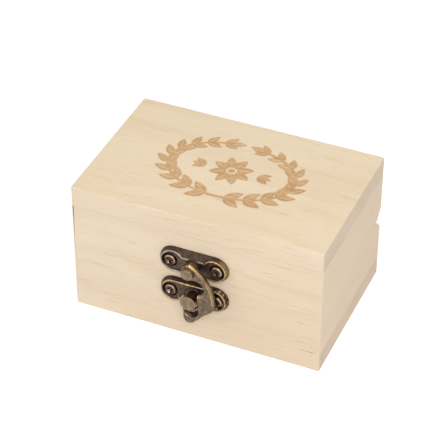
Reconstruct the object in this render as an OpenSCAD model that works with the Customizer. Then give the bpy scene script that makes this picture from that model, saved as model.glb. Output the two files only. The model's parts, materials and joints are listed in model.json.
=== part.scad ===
// Small wooden keepsake box: a mitred case sawn into box and lid, hinged at the back,
// and held shut in front by a cast swing-hook hasp.
// The origin is at the middle of the underside. +X is right, -Y is the front, +Z is up.

/* [Case] */
// Width of the case, left to right
case_width = 100; // [90:1:120]
// Depth of the case, front to back
case_depth = 64; // [58:1:80]
// Height of the closed case
case_height = 55.5; // [53:0.5:62]
// Height of the seam between box and lid
seam_height = 28; // [26.5:0.5:31]
// Thickness of the top board and of the bottom board
board_thickness = 8.4; // [7:0.1:9.5]
// Thickness of the four walls
wall_thickness = 8; // [7:0.1:9.5]
// Radius of the upright corners
corner_radius = 1; // [0.5:0.1:2]
// Radius of the long outer edges of the two boards
board_edge_radius = 0.6; // [0.3:0.1:1]
// Width of the eased edge along the seam
seam_ease = 0.3; // [0.1:0.05:0.5]
// Depth of the V groove along the back of the seam
groove_depth = 5.25; // [4.9:0.05:6]

/* [Hasp plates] */
// Distance of the hasp to the right of the middle
hasp_offset = 0.2; // [-3:0.1:3]
// Length of each plate
plate_length = 27.4; // [26:0.2:30]
// Height of each plate
plate_height = 10.8; // [10:0.1:12]
// Thickness of each plate
plate_thickness = 2.2; // [1.9:0.1:2.5]
// Height of the upright rim round each plate
plate_rim = 0.6; // [0.3:0.1:1]
// How far the sloping side draws in from the rim to the face
plate_slope = 0.8; // [0.5:0.1:1]
// Depth of the dip between the ears of the lid's plate
plate_dip = 2.1; // [1.5:0.1:3]
// Depth of the dip between the ears of the keeper plate
keeper_dip = 3.2; // [2.4:0.1:3.6]
// Width of the raised border round the sunk face
border_width = 0.6; // [0.4:0.1:1]
// Depth of the sunk face below the border
face_sink = 0.4; // [0.2:0.05:0.5]
// Gap between the seam and the lid's plate above it
plate_rise = 2.3; // [1.5:0.1:3]
// Gap between the seam and the keeper plate below it
plate_drop = 1; // [0.5:0.1:2]

/* [Pivot and stud] */
// Radius of the rivet that the hook turns on
pivot_radius = 1.3; // [1:0.05:1.6]
// Radius of the rivet's head
pivot_head_radius = 2.35; // [2:0.05:2.6]
// Height of the rivet's head
pivot_head_height = 2; // [1.4:0.1:2.8]
// Radius of the boss that holds the hook off the plate
boss_radius = 2.6; // [2.2:0.1:3]
// Height of the boss above the plate
boss_height = 2.2; // [1.2:0.05:2.4]
// Radius of the keeper stud's post
stud_radius = 2.1; // [1.8:0.1:2.5]
// Radius of the keeper stud's head
stud_head_radius = 3.1; // [2.9:0.1:3.6]
// Height of the keeper stud's head
stud_head_height = 1; // [0.8:0.1:1.6]
// Room between the hook's face and the stud's head
stud_head_room = 0.35; // [0.25:0.05:1]
// Running clearance of the hook on its rivet
pivot_clearance = 0.06; // [0.03:0.01:0.1]
// Gap above and below the hook's eye
eye_gap = 0.05; // [0.03:0.01:0.15]

/* [Hook] */
// Thickness of the swing hook
hook_thickness = 1.9; // [1.5:0.1:2.3]
// Width of the bevel round the hook's face
hook_bevel = 0.6; // [0.3:0.05:0.8]
// Radius of the hook's eye
eye_radius = 3.1; // [2.8:0.1:3.4]
// Radius of the outer curve from the eye down to the belly
neck_radius = 18.6; // [16:0.2:22]
// Radius of the belly beside the stud
belly_radius = 6.7; // [6.2:0.1:7.2]
// Distance of the belly's centre to the right of the stud
belly_offset = 3.4; // [3:0.1:4]
// Distance of the belly's centre above the stud
belly_rise = 1; // [0.5:0.1:1.5]
// Radius of the hollow between eye and belly
hollow_radius = 3.3; // [3:0.1:3.6]
// Distance of the hollow's centre to the right of the stud
hollow_offset = 2.5; // [2.2:0.1:2.8]
// Distance of the hollow's centre below the pivot
hollow_drop = 6.9; // [6.6:0.1:7.3]
// Gap between the hook's notch and the stud's post
notch_gap = 1.3; // [1:0.05:1.5]
// Radius of the tongue under the stud
tongue_radius = 4; // [3.6:0.1:4.4]
// Distance of the tongue's centre to the right of the stud
tongue_offset = 1.2; // [0.8:0.1:1.6]
// Radius of the finger tip at the hook's end
tip_radius = 3; // [2.6:0.1:3.3]
// Distance of the finger tip's centre below the stud
tip_drop = 7.2; // [6.8:0.1:7.8]
// Distance of the finger tip's centre to the left of the stud
tip_offset = 0.2; // [0:0.1:0.6]

/* [Hasp screws] */
// Distance from each end of a plate to its screw
screw_inset = 4.4; // [4.2:0.1:4.8]
// Radius of the screw's shank
screw_radius = 1.1; // [0.9:0.05:1.3]
// Length of the shank under the head
screw_length = 7; // [5:0.5:7.5]
// Radius of the screw's head
screw_head_radius = 2.4; // [2.2:0.1:2.6]
// Height of the screw's head
screw_head_height = 1.8; // [1.4:0.1:1.9]
// Width of the cross recess's slots
cross_width = 0.65; // [0.5:0.05:0.8]
// Radius of the cross recess's middle at the top
cross_middle = 1.1; // [0.8:0.05:1.3]
// Gap between the screw's head and the rim of its seat
seat_gap = 0.5; // [0.3:0.05:0.6]
// Thickness of the plate left under the screw's head
seat_thickness = 1.2; // [1:0.1:1.4]

/* [Hinges] */
// Distance from each end of the case to the middle of its hinge
hinge_inset = 22; // [18:0.5:26]
// Length of each hinge
hinge_length = 18; // [16:0.5:21]
// Thickness of the leaves
leaf_thickness = 0.8; // [0.6:0.05:0.9]
// Width of each leaf from the pin to its outer edge
leaf_width = 5.3; // [5.1:0.1:5.5]
// Outer radius of the knuckles
knuckle_radius = 1.3; // [1.2:0.05:1.4]
// Radius of the pin
pin_radius = 0.6; // [0.5:0.05:0.7]
// Running clearance of the lid's knuckle on the pin
pin_clearance = 0.05; // [0.03:0.01:0.08]
// Gap between one leaf's knuckle and what lies beside it
knuckle_gap = 0.15; // [0.1:0.05:0.25]
// Radius of the countersunk screw heads
leaf_screw_head_radius = 1.5; // [1.3:0.05:1.6]
// Radius of the screws' shanks
leaf_screw_radius = 0.75; // [0.6:0.05:0.9]
// Length of the screws
leaf_screw_length = 5; // [4:0.25:6]
// Distance between the two screws of a leaf
leaf_screw_spacing = 10.4; // [9:0.2:11]

/* [Hidden] */
$fn = 64;

// Fits between pieces that don't move on each other
fixed_fit = 0.02;
// How far a cutting shape reaches past what it cuts
over = 1;

// Heights of the joints between boards and walls
bottom_joint = board_thickness;
top_joint = case_height - board_thickness;

// Places on the front, measured up from the underside
pivot_z = seam_height + plate_rise + plate_height / 2;
stud_z = seam_height - plate_drop - plate_height / 2;
throat = pivot_z - stud_z;
screw_x = plate_length / 2 - screw_inset;

// Levels of the hasp, measured out from the front face
hook_back = plate_thickness + boss_height + eye_gap;
hook_face = hook_back + hook_thickness;
pivot_head_back = hook_face + eye_gap;
stud_head_back = hook_face + stud_head_room;
tail_height = 0.7;
tail_flare = 0.7;

// Outline of the hook, seen from the front with the stud at the origin
notch_radius = stud_radius + notch_gap;
eye_centre = [0, throat];
belly_centre = [belly_offset, belly_rise];
hollow_centre = [hollow_offset, throat - hollow_drop];
tongue_centre = [tongue_offset, -notch_radius - tongue_radius / 2 + hook_bevel];
tip_centre = [-tip_offset, -tip_drop];
neck_centre = tangent_centre(eye_centre, neck_radius - eye_radius, belly_centre, neck_radius - belly_radius);

// How far the hook's straight bars lie inside the discs that they join
bar_sink = 0.04;

// Pin of the hinges, which sits in the mouth of the V groove
hinge_x = case_width / 2 - hinge_inset;
knuckle_room = 0.1;
pin_relief = 0.2;
pin_foot = knuckle_radius + knuckle_room;
groove_apex = case_depth / 2 - groove_depth;
pin_y = groove_apex + pin_foot * sqrt(2);
knuckle_length = hinge_length / 3;
leaf_screw_shift = 0.2;
leaf_screw_place = (knuckle_radius + knuckle_gap + leaf_width) / 2 + leaf_screw_shift;
leaf_screw_tip = 1.2;

// Shapes of the heads and screws, with the domes and the cross as shares of the head's radius
rivet_dome = 3;
pan_dome = 1.35;
cross_reach = 1.3;
cross_turn = 30;
screw_point = 0.2;
shank_join = 0.5;

wood = "#e8d3b7";
end_wood = "#d2bda9";
bronze = "#5d4d3d";
worn_bronze = "#9b8770";
screw_bronze = "#6f6660";

// The centre at distance reach_a from a and reach_b from b, to the left of the way from a to b
function tangent_centre(a, reach_a, b, reach_b) =
    let (
        span = norm(b - a),
        way = (b - a) / span,
        along = (reach_a * reach_a - reach_b * reach_b + span * span) / (2 * span),
        aside = sqrt(reach_a * reach_a - along * along)
    )
    a + along * way + aside * [way.y, -way.x];

// The way square to the line that touches two circles on the right of the way from a to b
function tangent_normal(a, radius_a, b, radius_b) =
    let (
        span = norm(b - a),
        way = (b - a) / span,
        lean = (radius_a - radius_b) / span
    )
    sqrt(1 - lean * lean) * [way.y, -way.x] + lean * way;

// The case, made as one block and sawn apart at the seam

module rounded_rectangle(size, radius) {
    square([size.x - 2 * radius, size.y], center = true);
    square([size.x, size.y - 2 * radius], center = true);
    for (x = [-1, 1], y = [-1, 1]) {
        translate([x * (size.x / 2 - radius), y * (size.y / 2 - radius)]) circle(r = radius);
    }
}

module case_outline() {
    rounded_rectangle([case_width, case_depth], corner_radius);
}

// Front wall's share of the outline, between its two mitres, for a case turned to suit
module mitre_share(width, depth) {
    polygon([
        [-width / 2, -depth / 2],
        [width / 2, -depth / 2],
        [width / 2 - wall_thickness, -depth / 2 + wall_thickness],
        [-width / 2 + wall_thickness, -depth / 2 + wall_thickness]
    ]);
}

module wall_outline(side) {
    intersection() {
        case_outline();
        if (side == "front") mitre_share(case_width, case_depth);
        if (side == "back") rotate(180) mitre_share(case_width, case_depth);
        if (side == "left") rotate(-90) mitre_share(case_depth, case_width);
        if (side == "right") rotate(90) mitre_share(case_depth, case_width);
    }
}

// A square bar on its corner, lying along X at the seam
module seam_bar(length, half_height) {
    rotate([45, 0, 0]) cube([length, half_height * sqrt(2), half_height * sqrt(2)], center = true);
}

// The V groove at the back and the eased edges on the other three sides
module seam_cuts() {
    translate([0, case_depth / 2, seam_height]) seam_bar(case_width + 2 * over, groove_depth);
    translate([0, -case_depth / 2, seam_height]) seam_bar(case_width + 2 * over, seam_ease);
    for (side = [-1, 1]) {
        translate([side * case_width / 2, 0, seam_height]) rotate(90) seam_bar(case_depth + 2 * over, seam_ease);
    }
}

module wall(side, low, high) {
    difference() {
        translate([0, 0, low]) linear_extrude(height = high - low) wall_outline(side);
        seam_cuts();
    }
}

// A board with its outer long edges rounded, its outer face at z = board_thickness
module board() {
    intersection() {
        linear_extrude(height = board_thickness) case_outline();
        rotate([90, 0, 90]) linear_extrude(height = case_width + 2 * over, center = true) board_profile(case_depth);
        rotate([90, 0, 0]) linear_extrude(height = case_depth + 2 * over, center = true) board_profile(case_width);
    }
}

module board_profile(width) {
    radius = board_edge_radius;
    translate([-width / 2, 0]) square([width, board_thickness - radius]);
    translate([-width / 2 + radius, 0]) square([width - 2 * radius, board_thickness]);
    for (side = [-1, 1]) {
        translate([side * (width / 2 - radius), board_thickness - radius]) circle(r = radius);
    }
}

module bottom_board() {
    color(end_wood) translate([0, 0, board_thickness]) mirror([0, 0, 1]) board();
}

module lid_top_board() {
    color(wood) translate([0, 0, top_joint]) board();
}

module box_front_wall() {
    color(wood) difference() {
        wall("front", bottom_joint, seam_height);
        on_box_front() screw_holes();
    }
}

module box_back_wall() {
    color(wood) difference() {
        wall("back", bottom_joint, seam_height);
        for (side = [-1, 1]) on_box_chamfer(side) leaf_screw_holes();
    }
}

module box_left_wall() {
    color(end_wood) wall("left", bottom_joint, seam_height);
}

module box_right_wall() {
    color(end_wood) wall("right", bottom_joint, seam_height);
}

module lid_front_wall() {
    color(wood) difference() {
        wall("front", seam_height, top_joint);
        on_lid_front() screw_holes();
    }
}

module lid_back_wall() {
    color(wood) difference() {
        wall("back", seam_height, top_joint);
        for (side = [-1, 1]) on_lid_chamfer(side) leaf_screw_holes();
    }
}

module lid_left_wall() {
    color(end_wood) wall("left", seam_height, top_joint);
}

module lid_right_wall() {
    color(end_wood) wall("right", seam_height, top_joint);
}

// The hasp, drawn flat: X to the right, Y up and Z out from the front face

module on_front(height) {
    translate([hasp_offset, -case_depth / 2, height]) rotate([90, 0, 0]) children();
}

module on_lid_front() {
    on_front(pivot_z) children();
}

module on_box_front() {
    on_front(stud_z) children();
}

// A disc with a bevelled front edge
module coin(centre, radius, height, bevel) {
    translate(centre) {
        cylinder(r = radius, h = height - bevel);
        translate([0, 0, height - bevel]) cylinder(r1 = radius, r2 = radius - bevel, h = bevel);
    }
}

// A round cut right through, flared at the front to leave a bevel
module bite(centre, radius, height, bevel) {
    translate(centre) {
        translate([0, 0, -over]) cylinder(r = radius, h = height + 2 * over);
        translate([0, 0, height - bevel]) cylinder(r1 = radius, r2 = radius + bevel + over, h = bevel + over);
    }
}

// A head whose rounded front is part of a ball
module domed_head(radius, height, dome) {
    intersection() {
        cylinder(r = radius, h = height);
        translate([0, 0, height - dome]) sphere(r = dome);
    }
}

// A long block with round ends and sloping sides, sunk between its ears along the upper side
module plate_block(dip) {
    half = plate_height / 2;
    run = plate_length - plate_height;
    face = half - plate_slope;
    for (side = [-1, 1]) {
        translate([side * run / 2, 0, 0]) {
            cylinder(r = half, h = plate_rim);
            translate([0, 0, plate_rim]) cylinder(r1 = half, r2 = face, h = plate_thickness - plate_rim);
        }
    }
    rotate([90, 0, 90]) linear_extrude(height = run, center = true) {
        polygon([
            [-half, 0],
            [half, 0],
            [half, plate_rim],
            [face - dip, plate_thickness],
            [-face, plate_thickness],
            [-half, plate_rim]
        ]);
    }
}

// The part of the face inside its border
module sunk_outline(dip) {
    run = plate_length - plate_height;
    reach = plate_height / 2 - plate_slope - border_width;
    for (side = [-1, 1]) {
        translate([side * run / 2, 0]) circle(r = reach);
    }
    translate([-run / 2, -reach]) square([run, 2 * reach - dip]);
}

// A finished plate with its two screw seats and the bore for its rivet or stud
module hasp_plate(bore, dip) {
    difference() {
        union() {
            difference() {
                plate_block(dip);
                translate([0, 0, plate_thickness - face_sink]) linear_extrude(height = over) sunk_outline(dip);
            }
            children();
        }
        for (side = [-1, 1]) {
            translate([side * screw_x, 0, seat_thickness]) {
                cylinder(r = screw_head_radius + seat_gap, h = plate_thickness);
                translate([0, 0, -seat_thickness - over]) {
                    cylinder(r = screw_radius + fixed_fit, h = seat_thickness + 2 * over);
                }
            }
        }
        translate([0, 0, -over]) cylinder(r = bore + fixed_fit, h = hook_back + over);
        tail(bore, fixed_fit);
    }
}

// The spread end that holds a rivet or stud in the back of its plate
module tail(radius, fit) {
    cylinder(r1 = radius + tail_flare + fit, r2 = radius + fit, h = tail_height);
}

module latch_plate() {
    color(bronze) on_lid_front() hasp_plate(pivot_radius, plate_dip) {
        cylinder(r = boss_radius, h = hook_back - eye_gap);
    }
}

module keeper_plate() {
    color(bronze) on_box_front() rotate(180) hasp_plate(stud_radius, keeper_dip) {
        cylinder(r = stud_head_radius, h = plate_thickness);
    }
}

module pivot_rivet() {
    color(worn_bronze) on_lid_front() {
        cylinder(r = pivot_radius, h = pivot_head_back + over);
        tail(pivot_radius, 0);
        translate([0, 0, pivot_head_back]) domed_head(pivot_head_radius, pivot_head_height, rivet_dome * pivot_head_radius);
    }
}

module keeper_stud() {
    color(worn_bronze) on_box_front() {
        cylinder(r = stud_radius, h = stud_head_back);
        tail(stud_radius, 0);
        translate([0, 0, stud_head_back]) domed_head(stud_head_radius, stud_head_height, rivet_dome * stud_head_radius);
    }
}

// The hook, with the stud at the origin and its back at z = 0

module hook_coin(centre, radius) {
    coin([centre.x, centre.y, 0], radius, hook_thickness, hook_bevel);
}

module hook_bite(centre, radius) {
    bite([centre.x, centre.y, 0], radius, hook_thickness, hook_bevel);
}

// A bevelled bar whose long edge touches two of the hook's discs on the right of the way from a to b
module hook_bar(a, radius_a, b, radius_b) {
    normal = tangent_normal(a, radius_a, b, radius_b);
    start = a + (radius_a - bar_sink) * normal;
    end = b + (radius_b - bar_sink) * normal;
    depth = min(radius_a, radius_b);
    translate([start.x, start.y, 0]) rotate(atan2(end.y - start.y, end.x - start.x)) {
        rotate([90, 0, 90]) linear_extrude(height = norm(end - start)) {
            polygon([
                [0, 0],
                [0, hook_thickness - hook_bevel],
                [hook_bevel, hook_thickness],
                [depth, hook_thickness],
                [depth, 0]
            ]);
        }
    }
}

// What lies to the right of the line from the eye through the hollow to the belly
module right_of_hollow() {
    far = throat + neck_radius;
    translate([0, 0, -over]) linear_extrude(height = hook_thickness + 2 * over) {
        polygon([eye_centre, hollow_centre, belly_centre, [far, belly_rise], [far, far], [0, far]]);
    }
}

// The slot by which the stud comes in from the left, over the tongue
module stud_way() {
    far = 2 * belly_radius;
    translate([0, 0, -over]) linear_extrude(height = hook_thickness + 2 * over) {
        translate([-far, 0]) square([far + notch_radius, hollow_centre.y]);
    }
    intersection() {
        hook_bite(eye_centre, throat + notch_radius);
        translate([-far, -far, -over]) cube([far, far + over, hook_thickness + 2 * over]);
    }
}

module hook_body() {
    difference() {
        union() {
            hook_coin(eye_centre, eye_radius);
            intersection() {
                hook_coin(neck_centre, neck_radius);
                right_of_hollow();
            }
            hook_coin(belly_centre, belly_radius);
            hook_coin(tongue_centre, tongue_radius);
            hook_coin(tip_centre, tip_radius);
            hook_bar(tip_centre, tip_radius, belly_centre, belly_radius);
            hook_bar([tip_centre.x, 0], tip_radius, tip_centre, tip_radius);
        }
        hook_bite(hollow_centre, hollow_radius);
        hook_bite([0, 0], notch_radius);
        stud_way();
        translate([0, throat, -over]) cylinder(r = pivot_radius + pivot_clearance, h = hook_thickness + 2 * over);
    }
}

module swing_hook() {
    color(bronze) on_box_front() translate([0, 0, hook_back]) hook_body();
}

// Screws and the holes that they fill

module pan_screw() {
    difference() {
        union() {
            domed_head(screw_head_radius, screw_head_height, pan_dome * screw_head_radius);
            translate([0, 0, -screw_length]) cylinder(r1 = screw_point, r2 = screw_radius, h = 2 * screw_radius);
            translate([0, 0, -screw_length + 2 * screw_radius]) {
                cylinder(r = screw_radius, h = screw_length - 2 * screw_radius + shank_join);
            }
        }
        for (turn = [0, 90]) {
            rotate(turn + cross_turn) translate([0, 0, screw_head_height]) {
                cube([cross_reach * screw_head_radius, cross_width, screw_head_height], center = true);
            }
        }
        translate([0, 0, screw_head_height - cross_middle]) {
            cylinder(r1 = 0, r2 = cross_middle + over, h = cross_middle + over);
        }
    }
}

// Pilot holes in a front wall for the two screws of a plate
module screw_holes() {
    depth = screw_length - seat_thickness;
    for (side = [-1, 1]) {
        translate([side * screw_x, 0, -depth]) cylinder(r = screw_radius + fixed_fit, h = depth + over);
    }
}

module seated_screw(side) {
    color(screw_bronze) translate([side * screw_x, 0, seat_thickness]) pan_screw();
}

module latch_screw_left() {
    on_lid_front() seated_screw(-1);
}

module latch_screw_right() {
    on_lid_front() seated_screw(1);
}

module keeper_screw_left() {
    on_box_front() seated_screw(-1);
}

module keeper_screw_right() {
    on_box_front() seated_screw(1);
}

// The hinges, drawn lying on a chamfer: the pin along X at the origin, the leaf towards +Y,
// and +Z out of the wood

module on_box_chamfer(side) {
    translate([side * hinge_x, pin_y, seam_height]) rotate([-45, 0, 0]) children();
}

module on_lid_chamfer(side) {
    translate([side * hinge_x, pin_y, seam_height]) mirror([0, 0, 1]) rotate([-45, 0, 0]) children();
}

module knuckle(start, length, bore) {
    translate([start, 0, 0]) rotate([0, 90, 0]) difference() {
        cylinder(r = knuckle_radius, h = length);
        translate([0, 0, -over]) cylinder(r = bore, h = length + 2 * over);
    }
}

// Flat of a leaf with its two countersunk holes, reaching in to the pin where it has a knuckle
module leaf_flat() {
    inner = knuckle_radius + knuckle_gap;
    difference() {
        translate([-hinge_length / 2, inner, -pin_foot]) {
            cube([hinge_length, leaf_width - inner, leaf_thickness]);
        }
        leaf_screw_places() {
            leaf_screw_head(fixed_fit);
            translate([0, 0, -over]) cylinder(r = leaf_screw_radius + fixed_fit, h = 2 * over);
        }
    }
}

// The root that joins a knuckle to the flat
module knuckle_root(start, length) {
    difference() {
        translate([start, 0, -pin_foot]) cube([length, knuckle_radius + knuckle_gap, leaf_thickness]);
        translate([start - over, 0, 0]) rotate([0, 90, 0]) cylinder(r = pin_radius + pin_relief, h = length + 2 * over);
    }
}

module box_leaf(side) {
    length = knuckle_length - knuckle_gap;
    color(worn_bronze) on_box_chamfer(side) {
        leaf_flat();
        for (start = [-hinge_length / 2, hinge_length / 2 - length]) {
            knuckle(start, length, pin_radius + fixed_fit);
            knuckle_root(start, length);
        }
    }
}

module lid_leaf(side) {
    color(worn_bronze) on_lid_chamfer(side) {
        leaf_flat();
        knuckle(-knuckle_length / 2, knuckle_length, pin_radius + pin_clearance);
        knuckle_root(-knuckle_length / 2, knuckle_length);
    }
}

module hinge_pin(side) {
    color(bronze) on_box_chamfer(side) {
        rotate([0, 90, 0]) cylinder(r = pin_radius, h = hinge_length, center = true);
    }
}

// Places of the two screws on a leaf, with z = 0 on the wood
module leaf_screw_places() {
    for (end = [-1, 1]) {
        translate([end * leaf_screw_spacing / 2, leaf_screw_place, -pin_foot]) children();
    }
}

// Countersunk head, flush with the leaf
module leaf_screw_head(fit) {
    cylinder(r1 = leaf_screw_radius + fit, r2 = leaf_screw_head_radius + fit, h = leaf_thickness);
}

module leaf_screws() {
    leaf_screw_places() {
        leaf_screw_head(0);
        translate([0, 0, leaf_screw_tip - leaf_screw_length]) {
            cylinder(r = leaf_screw_radius, h = leaf_screw_length - leaf_screw_tip + leaf_thickness / 2);
            mirror([0, 0, 1]) cylinder(r1 = leaf_screw_radius, r2 = screw_point, h = leaf_screw_tip);
        }
    }
}

module leaf_screw_holes() {
    leaf_screw_places() {
        translate([0, 0, -leaf_screw_length]) {
            cylinder(r = leaf_screw_radius + fixed_fit, h = leaf_screw_length + over);
        }
    }
}

module hinge_left_box_leaf() {
    box_leaf(-1);
}

module hinge_left_lid_leaf() {
    lid_leaf(-1);
}

module hinge_left_pin() {
    hinge_pin(-1);
}

module hinge_left_box_screws() {
    color(bronze) on_box_chamfer(-1) leaf_screws();
}

module hinge_left_lid_screws() {
    color(bronze) on_lid_chamfer(-1) leaf_screws();
}

module hinge_right_box_leaf() {
    box_leaf(1);
}

module hinge_right_lid_leaf() {
    lid_leaf(1);
}

module hinge_right_pin() {
    hinge_pin(1);
}

module hinge_right_box_screws() {
    color(bronze) on_box_chamfer(1) leaf_screws();
}

module hinge_right_lid_screws() {
    color(bronze) on_lid_chamfer(1) leaf_screws();
}

bottom_board();
box_front_wall();
box_back_wall();
box_left_wall();
box_right_wall();
lid_top_board();
lid_front_wall();
lid_back_wall();
lid_left_wall();
lid_right_wall();
latch_plate();
pivot_rivet();
swing_hook();
latch_screw_left();
latch_screw_right();
keeper_plate();
keeper_stud();
keeper_screw_left();
keeper_screw_right();
hinge_left_box_leaf();
hinge_left_lid_leaf();
hinge_left_pin();
hinge_left_box_screws();
hinge_left_lid_screws();
hinge_right_box_leaf();
hinge_right_lid_leaf();
hinge_right_pin();
hinge_right_box_screws();
hinge_right_lid_screws();
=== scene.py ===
import json
import math

import bmesh
import bpy
import numpy as np
from mathutils import Matrix, Vector, noise


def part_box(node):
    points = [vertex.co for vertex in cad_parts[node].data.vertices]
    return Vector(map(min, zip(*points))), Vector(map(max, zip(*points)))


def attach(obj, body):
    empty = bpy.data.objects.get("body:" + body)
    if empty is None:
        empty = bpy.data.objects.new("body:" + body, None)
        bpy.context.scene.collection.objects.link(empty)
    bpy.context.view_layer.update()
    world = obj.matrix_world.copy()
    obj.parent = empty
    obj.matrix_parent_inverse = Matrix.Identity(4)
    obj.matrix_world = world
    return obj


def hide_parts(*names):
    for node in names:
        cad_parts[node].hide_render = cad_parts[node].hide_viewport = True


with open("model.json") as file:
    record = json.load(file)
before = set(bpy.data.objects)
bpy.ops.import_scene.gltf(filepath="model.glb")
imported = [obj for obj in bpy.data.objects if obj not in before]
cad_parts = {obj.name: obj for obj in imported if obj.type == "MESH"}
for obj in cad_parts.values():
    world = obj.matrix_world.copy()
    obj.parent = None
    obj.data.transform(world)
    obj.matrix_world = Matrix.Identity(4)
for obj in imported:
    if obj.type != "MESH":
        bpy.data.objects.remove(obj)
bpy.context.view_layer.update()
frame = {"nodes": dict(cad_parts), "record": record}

# Keepsake box: pale sanded wood, an engraved leaf wreath and antique-bronze fittings.
# Lengths are in millimetres, but in metres for the floor, the lamps, the camera and bumps.

nodes = frame["nodes"]
bodies = frame["record"]["behaviour"]["bodies"]
body_of = {node: body for body, members in bodies.items() for node in members}

MM = 0.001
MM_IN_METRE = 1000

# Where the boards meet the walls, where lid and box part, and half the case's width
BOTTOM_JOINT = float(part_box("bottom_board")[1].z) / MM
TOP_JOINT = float(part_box("lid_top_board")[0].z) / MM
SEAM = float(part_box("box_front_wall")[1].z) / MM
HALF_WIDTH = float(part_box("bottom_board")[1].x) / MM


def eased(value):
    """0 at and below 0, 1 at and above 1, and smooth between."""
    value = np.clip(value, 0, 1)
    return value * value * (3 - 2 * value)


def rising(value, start, over):
    """0 up to start, rising smoothly to 1 over a stretch."""
    return eased((value - start) / over)


def falling(value, end, over):
    """0 from end on, and 1 where value is below that by more than a stretch."""
    return eased((end - value) / over)


# Shader nodes

def srgb(r, g, b):
    """Linear colour of an sRGB one given in 0 to 255."""
    def linear(c):
        c = c / 255
        return c / 12.92 if c <= 0.04045 else ((c + 0.055) / 1.055) ** 2.4
    return (linear(r), linear(g), linear(b), 1.0)


def tinted(colour, tint):
    """A colour with its red, green and blue each multiplied."""
    return [c * k for c, k in zip(colour, (*tint, 1.0))]


class Graph:
    """The nodes of a material or a world. An input takes a value or another node's output."""

    def __init__(self, holder):
        self.holder = holder
        holder.use_nodes = True
        self.tree = holder.node_tree
        self.tree.nodes.clear()

    def node(self, kind, inputs=None, out=0, **settings):
        made = self.tree.nodes.new("ShaderNode" + kind)
        for key, value in settings.items():
            setattr(made, key, value)
        for key, value in (inputs or {}).items():
            if isinstance(value, bpy.types.NodeSocket):
                self.tree.links.new(value, made.inputs[key])
            else:
                made.inputs[key].default_value = value
        return made.outputs[out] if made.outputs else None

    def math(self, operation, a, b=0.0, clamp=False):
        return self.node("Math", {0: a, 1: b}, operation=operation, use_clamp=clamp)

    def times(self, a, b, clamp=False):
        return self.math("MULTIPLY", a, b, clamp=clamp)

    def plus(self, a, b, clamp=False):
        return self.math("ADD", a, b, clamp=clamp)

    def apart(self, value, middle):
        """How far a value is from middle."""
        return self.math("ABSOLUTE", self.math("SUBTRACT", value, middle))

    def vector(self, operation, a, b, out=0):
        return self.node("VectorMath", {0: a, 1: b}, out=out, operation=operation)

    def axis(self, vector, name):
        """One coordinate of a vector."""
        return self.node("SeparateXYZ", {0: vector}, out=name)

    def attribute(self, name):
        return self.node("Attribute", out="Fac", attribute_name=name)

    def ramp(self, value, low, high, start=0.0, end=1.0):
        """start where value is at low, end where it is at high, and smooth between."""
        inputs = {"Value": value, "From Min": low, "From Max": high, "To Min": start, "To Max": end}
        return self.node("MapRange", inputs, interpolation_type="SMOOTHSTEP")

    def mix(self, share, a, b, blend="MIX"):
        return self.node("Mix", {0: share, 6: a, 7: b}, out=2, data_type="RGBA", blend_type=blend)

    def tint(self, share, colour, by):
        """The colour multiplied by another one, as far as share says."""
        return self.mix(share, colour, self.mix(1.0, colour, by, blend="MULTIPLY"))

    def noise(self, place, scale, detail=3.0, roughness=0.55, stretch=(1, 1, 1), shift=(0, 0, 0),
              out=0):
        placed = self.node("Mapping", {"Vector": place, "Scale": stretch, "Location": shift})
        inputs = {"Vector": placed, "Scale": scale, "Detail": detail, "Roughness": roughness}
        return self.node("TexNoise", inputs, out=out)

    def place_mm(self, turn=0.0):
        """Object coordinates in mm, turned about Z."""
        inputs = {"Vector": self.node("TexCoord", out="Object"), "Scale": (MM_IN_METRE,) * 3,
                  "Rotation": (0, 0, turn)}
        return self.node("Mapping", inputs)

    def seen(self):
        """1 for what the camera sees, also in a reflection or through glass."""
        camera, glossy, through = (self.node("LightPath", out="Is %s Ray" % kind)
                                   for kind in ("Camera", "Glossy", "Transmission"))
        return self.math("MAXIMUM", self.math("MAXIMUM", camera, glossy), through)

    def close(self, inputs, bump):
        """Ends the material in a Principled shader, with a bump of (height, distance, strength)."""
        height, distance, strength = bump
        normal = self.node("Bump", {"Height": height, "Distance": distance, "Strength": strength})
        shader = self.node("BsdfPrincipled", {**inputs, "Normal": normal})
        self.node("OutputMaterial", {"Surface": shader})
        return self.holder


# Wood

PALE = srgb(240, 223, 198)
DEEP = srgb(208, 176, 138)
BURNT_DARK = srgb(204, 163, 114)
BURNT_LIGHT = srgb(219, 184, 141)
BURNT_GRAIN = srgb(172, 124, 74)
MITRE_DARK_LOW = srgb(196, 148, 116)
MITRE_DARK_HIGH = srgb(146, 130, 100)

# How far each kind of grain turns the pale colour to the deep one
RING_SHARE = 0.13
BAND_SHARE = 0.17
FIBRE_SHARE = (0.02, 0.11)
STREAK_SHARE = 0.2
DASH_SHARE = 0.34

# How far the tree's wander bends the grain
WANDER = 13

END_TINT = (1.01, 0.985, 0.985, 1.0)
SEAM_PAINTED_COOL_TINT = (1.0, 1.035, 1.06, 1.0)
JOINT_SHADE = 0.965
WOOD_SHINE = 0.28
# Distance and strength
WOOD_BUMP = (0.00005, 0.6)

# Only the front's face lies in front of this
FRONT_ONLY = -31.0
# Where along the front the open joint starts, grows wider and ends
OPEN_FROM = (38.5, 40.0)
OPEN_WIDER = (39.5, 46.5)
OPEN_TO = (47.2, 47.9)


def grain_place(g, place, pith):
    """The place bent by the tree's slow wander, and its distance from the pith."""
    wander = g.noise(place, 1.0, 2.0, 0.5, stretch=(0.011, 0.03, 0.03), shift=(pith[0], 3, 1),
                     out="Color")
    bend = g.vector("SUBTRACT", wander, (0.5, 0.5, 0.5))
    bend = g.vector("MULTIPLY", bend, (0, WANDER, WANDER))
    bent = g.vector("ADD", place, bend)
    from_pith = g.vector("SUBTRACT", bent, (0, pith[0], pith[1]))
    from_pith = g.vector("MULTIPLY", from_pith, (0, 1, 1))
    return bent, g.node("VectorMath", {0: from_pith}, out="Value", operation="LENGTH")


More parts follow.
